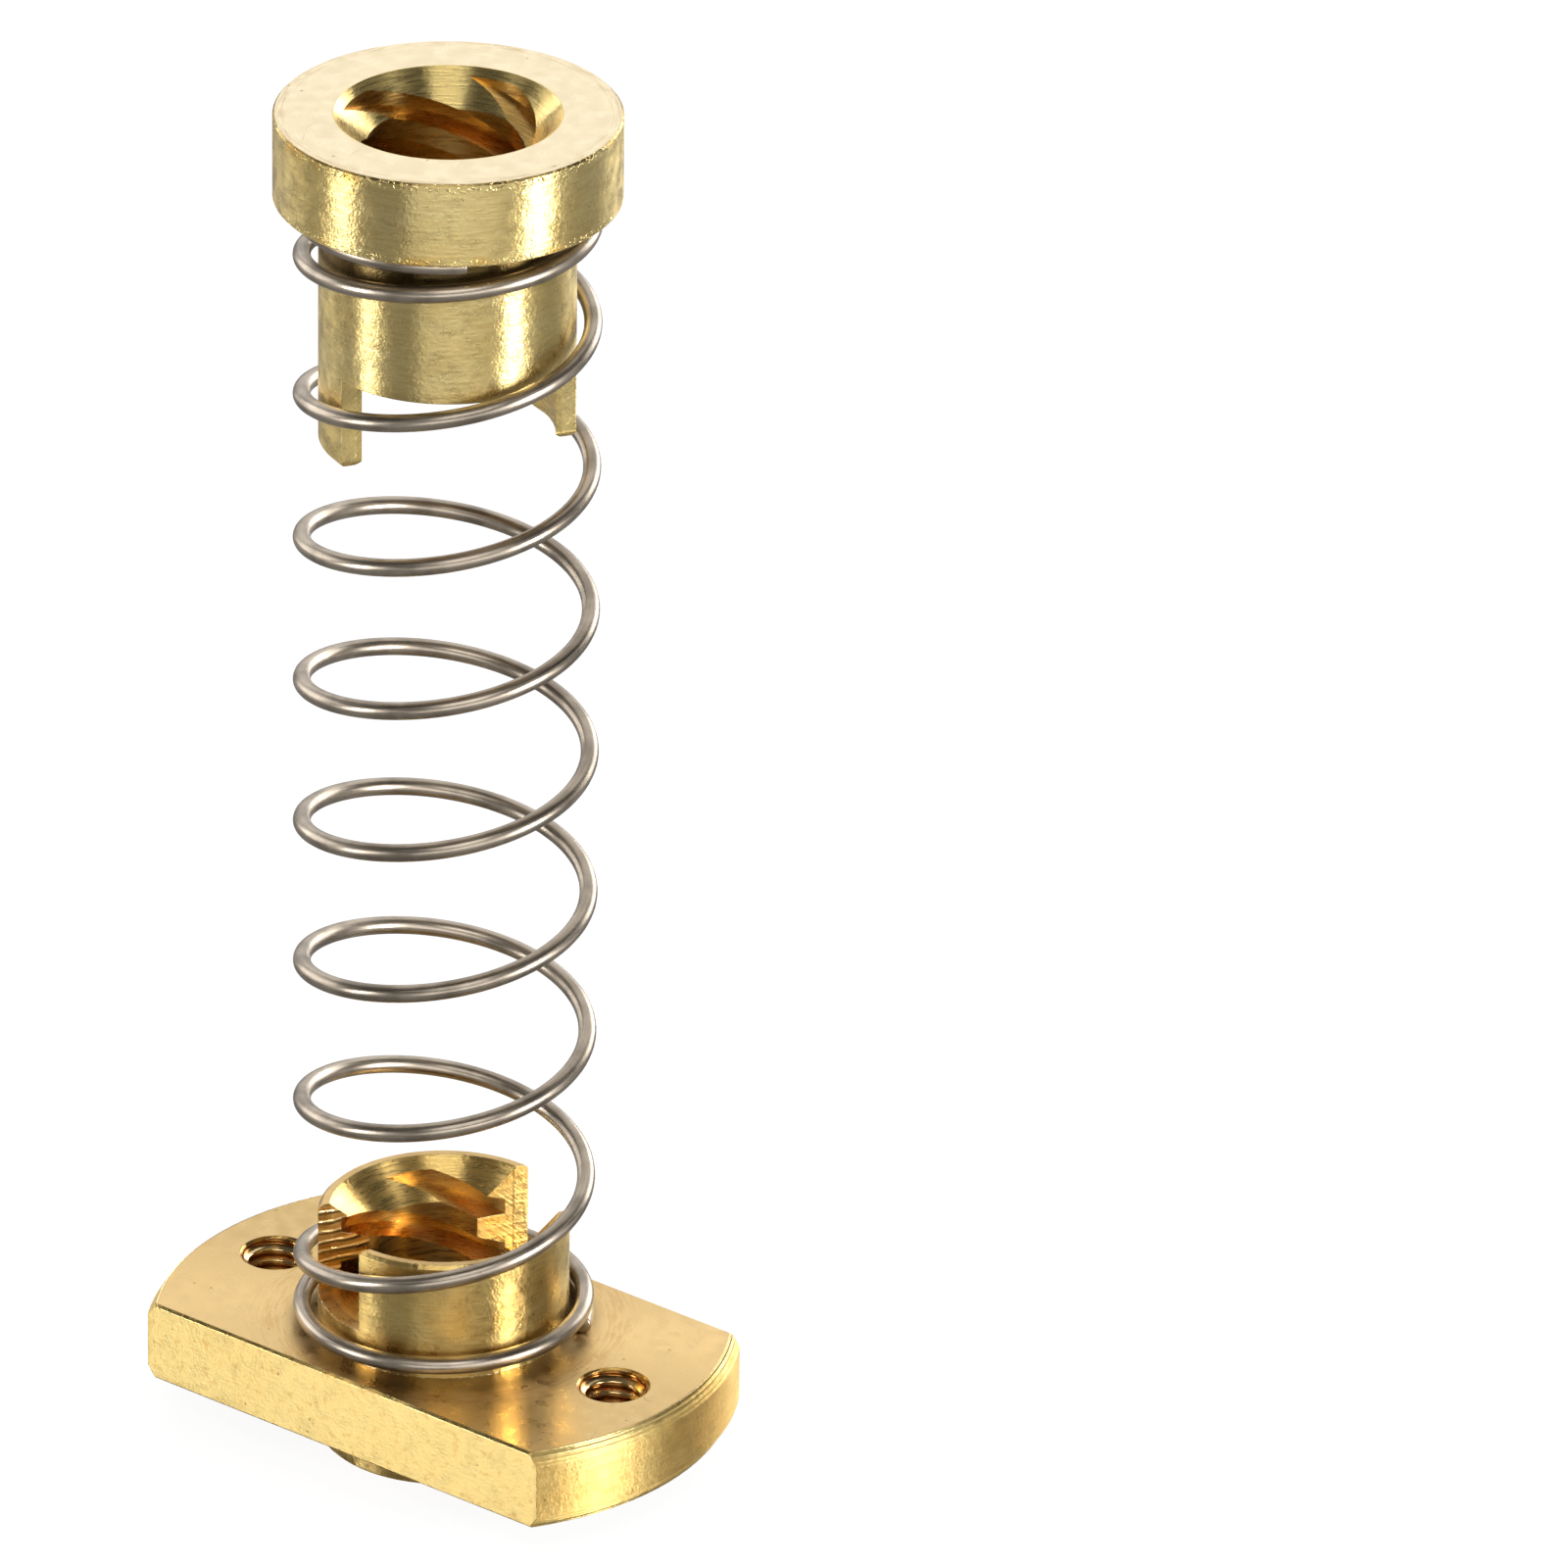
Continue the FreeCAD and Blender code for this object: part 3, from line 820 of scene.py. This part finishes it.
def spring_wire(sizes):
    """Tube on the spring's path, and each point's share of the slide from 0 to 1.

    A point is centre(t) + r cos(s) outward(t) + r sin(s) upward(t), for t in turns along
    the wire and s round it; r falls off over the last rings, which rounds the cut ends.
    """
    path = SpringPath(sizes.wire_mm)
    rounding = sizes.wire_mm * END_ROUNDING / (FULL_TURN * path.coil_r)
    ends = rounding * np.array(END_STATIONS)
    middle = np.linspace(rounding, SPRING_TURNS - rounding, sizes.wire_stations)
    turns = np.concatenate([ends[:-1], middle, SPRING_TURNS - ends[-2::-1]])
    shrink = np.ones(len(turns))
    shrink[:2] = END_SECTIONS
    shrink[-2:] = END_SECTIONS[::-1]
    outward, upward = path.directions(turns)
    sides = sizes.wire_sides
    s = np.linspace(0.0, FULL_TURN, sides, endpoint=False)[None, :, None]
    r = path.wire_r * shrink[:, None, None]
    section = np.cos(s) * outward[:, None, :] + np.sin(s) * upward[:, None, :]
    points = path.centre(turns)[:, None, :] + r * section
    faces = grid_quads(len(turns), sides, False)[:, ::-1].tolist()
    faces.append(list(range(sides)))
    last = (len(turns) - 1) * sides
    faces.append(list(range(last + sides - 1, last - 1, -1)))
    wire = mesh_object("spring_wire", points * MM, faces)
    map_wire(wire, sides, turns * FULL_TURN * path.coil_r)
    gaps = path.gaps(turns)
    return wire, np.repeat(gaps / gaps[-1], sides)


def tapped_sleeve(name, x, sizes):
    """Fine thread of one fixing hole: a thin sleeve with a helical ridge on its inside.

    Inner radius = r - depth * tri(z / pitch - angle / full turn), where tri is a triangle
    wave from 0 to 1; the sleeve's back lies just inside the plate's metal.
    """
    pitch = sizes.tap_pitch_mm
    low = PLATE_BOTTOM_Z + TAP_MOUTH
    high = PLATE_TOP_Z - TAP_MOUTH
    angles = np.linspace(0.0, FULL_TURN, TAP_SIDES, endpoint=False)[:, None]
    heights = np.linspace(low, high, int(TAP_STATIONS_PER_PITCH * (high - low) / pitch))[None, :]
    phase = (heights / pitch - angles / FULL_TURN) % 1.0
    wave = np.clip(TAP_FLANK_GAIN * (1.0 - np.abs(2.0 * phase - 1.0)), 0.0, 1.0)
    runout = np.clip(np.minimum(heights - low, high - heights) / (TAP_RUNOUT * pitch), 0.0, 1.0)
    inner = FIXING_HOLE_R - TAP_WALL_GAP - TAP_DEPTH * pitch * wave * runout
    back = np.full((len(angles), 2), FIXING_HOLE_R + TAP_BACK)
    radii = np.concatenate([inner, back], axis=1)
    levels = np.concatenate([heights.ravel(), [high, low]])[None, :] + 0.0 * angles
    points = np.stack([x + radii * np.cos(angles), radii * np.sin(angles), levels], axis=-1)
    faces = grid_quads(len(angles), radii.shape[1], True)
    return mesh_object(name, points * MM, faces.tolist())


def around(azimuth, elevation, distance):
    """Point at a distance from the aim; azimuth counts from the camera's, to the right."""
    a = math.radians(CAMERA_AZIMUTH + azimuth)
    e = math.radians(elevation)
    direction = Vector((math.sin(a) * math.cos(e), -math.cos(a) * math.cos(e), math.sin(e)))
    return CAMERA_AIM + distance * direction


def towards_aim(place):
    """Turn that makes a lamp or a camera at a place look at the aim."""
    return (CAMERA_AIM - place).to_track_quat("-Z", "Y")


def softbox(name, azimuth, elevation, distance, width, height, brightness):
    """Rectangular lamp that faces the nut; its face is brightness times as bright as paper white."""
    light = bpy.data.lights.new(name, "AREA")
    light.shape = "RECTANGLE"
    light.size = width
    light.size_y = height
    light.energy = WATTS_PER_SQUARE_METRE * width * height * brightness
    lamp = bpy.data.objects.new(name, light)
    bpy.context.scene.collection.objects.link(lamp)
    lamp.location = around(azimuth, elevation, distance)
    lamp.rotation_euler = towards_aim(lamp.location).to_euler()
    lamp.visible_camera = False


def studio_floor():
    """Paper floor: white to the camera with a soft shadow of the nut, greyer in the brass."""
    half = FLOOR_HALF_WIDTH
    low = CAD_LOW.z
    corners = np.array([(-half, -half, low), (half, -half, low), (half, half, low), (-half, half, low)])
    floor = mesh_object("floor", corners, [[0, 1, 2, 3]])
    material = bpy.data.materials.new("pale_paper")
    graph = Graph(material)
    path = graph.add("ShaderNodeLightPath").outputs
    paper = graph.add("ShaderNodeBsdfDiffuse", {"Color": grey(FLOOR_GREY)}).outputs[0]
    glow = graph.add("ShaderNodeEmission", {"Color": grey(1.0), "Strength": FLOOR_GLOW}).outputs[0]
    mirrored = graph.add("ShaderNodeBsdfDiffuse", {"Color": grey(FLOOR_IN_REFLECTIONS)}).outputs[0]
    seen = graph.mix_shader(FLOOR_GLOW_SHARE, paper, glow)
    unseen = graph.mix_shader(path["Is Glossy Ray"], paper, mirrored)
    mix = graph.mix_shader(path["Is Camera Ray"], unseen, seen)
    graph.add("ShaderNodeOutputMaterial", {"Surface": mix})
    floor.data.materials.append(material)


def studio_world():
    """Dim room that is white to the camera."""
    bpy.context.scene.view_settings.view_transform = "Standard"
    world = bpy.data.worlds.new("studio")
    graph = Graph(world)
    path = graph.add("ShaderNodeLightPath").outputs
    room = graph.add("ShaderNodeBackground", {"Color": grey(1.0), "Strength": ROOM_BRIGHTNESS}).outputs[0]
    white = graph.add("ShaderNodeBackground", {"Color": grey(1.0), "Strength": 1.0}).outputs[0]
    graph.add("ShaderNodeOutputWorld", {"Surface": graph.mix_shader(path["Is Camera Ray"], room, white)})
    bpy.context.scene.world = world


def place_camera():
    """Camera at the photograph's angle, turned a little so that the nut stands left of centre."""
    data = bpy.data.cameras.new("camera")
    data.sensor_width = SENSOR_MM
    data.lens = FOCAL_PIXELS / IMAGE_PIXELS * SENSOR_MM
    data.clip_start = CLIP_NEAR
    data.clip_end = CLIP_FAR
    camera = bpy.data.objects.new("camera", data)
    bpy.context.scene.collection.objects.link(camera)
    camera.location = around(0.0, CAMERA_ELEVATION, CAMERA_DISTANCE)
    half = IMAGE_PIXELS / 2.0
    pan = math.atan((half - AIM_PIXEL[0]) / FOCAL_PIXELS)
    tilt = math.atan((half - AIM_PIXEL[1]) / FOCAL_PIXELS)
    turn = Matrix.Rotation(-pan, 3, "Y") @ Matrix.Rotation(-tilt, 3, "X")
    roll = Matrix.Rotation(math.radians(CAMERA_ROLL), 3, "Z")
    camera.rotation_euler = (towards_aim(camera.location).to_matrix() @ roll @ turn).to_euler()
    bpy.context.scene.camera = camera


class NutSizes(bpy.types.PropertyGroup):
    """Sizes and colours of the nut's finish that a user would change."""

    # The third tone of each set is painted light on the level faces, the fourth painted shade deep in the
    # bore
    flange_tones: bpy.props.StringProperty(
        name="Flange tones", description="Pale, warm, faced and bore tones, sRGB hex",
        default="#F8DE92 #F0CC7C #DFBE81 #E8BC6C")
    collar_tones: bpy.props.StringProperty(
        name="Collar tones", description="Pale, warm, faced and bore tones, sRGB hex",
        default="#F7E09C #EFD48A #FFEEC8 #E8BC6C")
    tapped_light: bpy.props.StringProperty(
        name="Light tapped brass", description="Lightest tone in the fixing holes, sRGB hex",
        default="#FFDFA0")
    # Painted shade towards the thread roots of the fixing holes
    tapped_dark: bpy.props.StringProperty(
        name="Dark tapped brass", description="Deepest tone in the fixing holes, sRGB hex",
        default="#A87238")
    # Painted shade on the narrow broken edges
    edge_brown: bpy.props.StringProperty(
        name="Broken edges", description="Tone of the narrow broken edges, sRGB hex",
        default="#8C6C30")
    streak_brown: bpy.props.StringProperty(
        name="Streaks", description="Tone of the deeper tool marks, sRGB hex",
        default="#B9873E")
    milled_pale: bpy.props.StringProperty(
        name="Milled brass", description="Tone of the milled flats, sRGB hex",
        default="#E4CD8A")
    stain_yellow: bpy.props.StringProperty(
        name="Stain", description="Tone of the oil stains beside the edges, sRGB hex",
        default="#E2A632")
    pit_brown: bpy.props.StringProperty(
        name="Pits", description="Tone of pits and scratches, sRGB hex",
        default="#6E4A1E")
    # Painted glints: the bright flecks on the edges
    burr_and_glint_pale: bpy.props.StringProperty(
        name="Burr", description="Tone of the bright flecks on the edges, sRGB hex",
        default="#FFF2C8")
    # Painted reflection: the tone of brass that mirrors brass
    reflection_brown: bpy.props.StringProperty(
        name="Mirrored brass", description="Tone of brass that mirrors brass, sRGB hex",
        default="#A87A34")
    # Painted shade beside the spring, under the collar and round the spring's foot
    shade_brown: bpy.props.StringProperty(
        name="Painted shade tone", description="Tone of the painted shade beside the spring, sRGB hex",
        default="#4A3416")
    wire_light: bpy.props.StringProperty(
        name="Light wire", description="Lightest tone of the spring wire, sRGB hex",
        default="#B9AC9B")
    wire_dark: bpy.props.StringProperty(
        name="Dark wire", description="Deepest tone of the spring wire, sRGB hex",
        default="#93887A")
    brass_roughness: bpy.props.FloatProperty(
        name="Brass roughness", description="Roughness of the turned faces",
        default=0.3, min=0.0, max=1.0)
    turning_mark_mm: bpy.props.FloatProperty(
        name="Turning marks", description="Spacing of the rings left by the lathe tool, in mm",
        default=0.12)
    milling_mark_mm: bpy.props.FloatProperty(
        name="Milling marks", description="Spacing of the cutter marks on the flats, in mm",
        default=0.16)
    mark_depth_mm: bpy.props.FloatProperty(
        name="Mark depth", description="Depth of the tool marks, in mm",
        default=0.012)
    rim_ridge_mm: bpy.props.FloatProperty(
        name="Rim ridges", description="Spacing of the ridges on the plate's broken rim, in mm",
        default=0.115)
    chatter_mm: bpy.props.FloatProperty(
        name="Chatter", description="Spacing of the cutter's chatter marks on the slot faces, in mm",
        default=0.44)
    burr_mm: bpy.props.FloatProperty(
        name="Burr size", description="Size of the bright flecks on the edges, in mm",
        default=0.16)
    grain_mm: bpy.props.FloatProperty(
        name="Grain", description="Size of the fine grain of the surface, in mm",
        default=0.1)
    pit_spacing_mm: bpy.props.FloatProperty(
        name="Pit spacing", description="Spacing of the cells that may hold a pit, in mm",
        default=0.8)
    edge_round_mm: bpy.props.FloatProperty(
        name="Edge rounding", description="Radius to which sharp edges are shaded round, in mm",
        default=0.06)
    wire_mm: bpy.props.FloatProperty(
        name="Wire diameter", description="Diameter of the spring wire, in mm",
        default=0.72)
    wire_stations: bpy.props.IntProperty(
        name="Wire stations", description="Sections along the wire",
        default=960)
    wire_sides: bpy.props.IntProperty(
        name="Wire sides", description="Points round each section of the wire",
        default=24)
    tap_pitch_mm: bpy.props.FloatProperty(
        name="Fixing thread pitch", description="Pitch of the thread in the fixing holes, in mm",
        default=0.5)


def smooth_shading(node):
    """Joins the loose facets of a solid, shades its curved faces smooth and keeps its edges."""
    node.data.polygons.foreach_set("use_smooth", np.ones(len(node.data.polygons), bool))
    weld = node.modifiers.new("weld", "WELD")
    weld.merge_threshold = WELD_MM * MM
    split = node.modifiers.new("edges", "EDGE_SPLIT")
    split.split_angle = math.radians(SHARP_EDGE_DEG)
    normals = node.modifiers.new("normals", "WEIGHTED_NORMAL")
    normals.weight = LARGE_FACE_WEIGHT
    normals.keep_sharp = True


class NUT_OT_brass(bpy.types.Operator):
    """Gives the two nuts their turned and milled brass"""

    bl_idname = "nut.brass"
    bl_label = "Finish the brass nuts"

    def execute(self, context):
        sizes = context.scene.nut_sizes
        finishes = {"flange_nut": flange_brass(sizes), "collar_nut": collar_brass(sizes)}
        for node, material in finishes.items():
            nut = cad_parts[node]
            smooth_shading(nut)
            nut.data.materials.clear()
            nut.data.materials.append(material)
        return {"FINISHED"}


class NUT_OT_spring(bpy.types.Operator):
    """Winds the round wire spring between the two nuts"""

    bl_idname = "nut.spring"
    bl_label = "Wind the spring"

    def execute(self, context):
        sizes = context.scene.nut_sizes
        wire, share = spring_wire(sizes)
        wire.data.materials.append(drawn_wire(sizes))
        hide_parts("spring")
        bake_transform(wire)
        return {"FINISHED"}


class NUT_OT_fixing_threads(bpy.types.Operator):
    """Cuts the fine thread of the two fixing holes"""

    bl_idname = "nut.fixing_threads"
    bl_label = "Tap the fixing holes"

    def execute(self, context):
        sizes = context.scene.nut_sizes
        brass = tapped_brass(sizes)
        for name, x in (("fixing_thread_left", -FIXING_HOLE_X), ("fixing_thread_right", FIXING_HOLE_X)):
            sleeve = tapped_sleeve(name, x, sizes)
            sleeve.data.materials.append(brass)
            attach(sleeve, "flange")
        return {"FINISHED"}


class NUT_OT_stage(bpy.types.Operator):
    """Sets the floor, the lamps and the camera"""

    bl_idname = "nut.stage"
    bl_label = "Set the studio"

    def execute(self, context):
        studio_world()
        studio_floor()
        for lamp in LAMPS:
            softbox(*lamp)
        place_camera()
        return {"FINISHED"}


class NUT_PT_panel(bpy.types.Panel):
    """Lists the steps that finish the nut"""

    bl_label = "Screw nut"
    bl_idname = "NUT_PT_panel"
    bl_space_type = "VIEW_3D"
    bl_region_type = "UI"
    bl_category = "Screw nut"

    def draw(self, context):
        for step in STEPS:
            self.layout.operator(step.bl_idname)


STEPS = (NUT_OT_stage, NUT_OT_brass, NUT_OT_spring, NUT_OT_fixing_threads)
CLASSES = (NutSizes, *STEPS, NUT_PT_panel)


def register():
    for item in CLASSES:
        bpy.utils.register_class(item)
    bpy.types.Scene.nut_sizes = bpy.props.PointerProperty(type=NutSizes)


def unregister():
    del bpy.types.Scene.nut_sizes
    for item in reversed(CLASSES):
        bpy.utils.unregister_class(item)


def main():
    """Registers the add-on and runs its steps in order."""
    register()
    bpy.ops.nut.stage()
    bpy.ops.nut.brass()
    bpy.ops.nut.spring()
    bpy.ops.nut.fixing_threads()


if __name__ == "__main__":
    main()
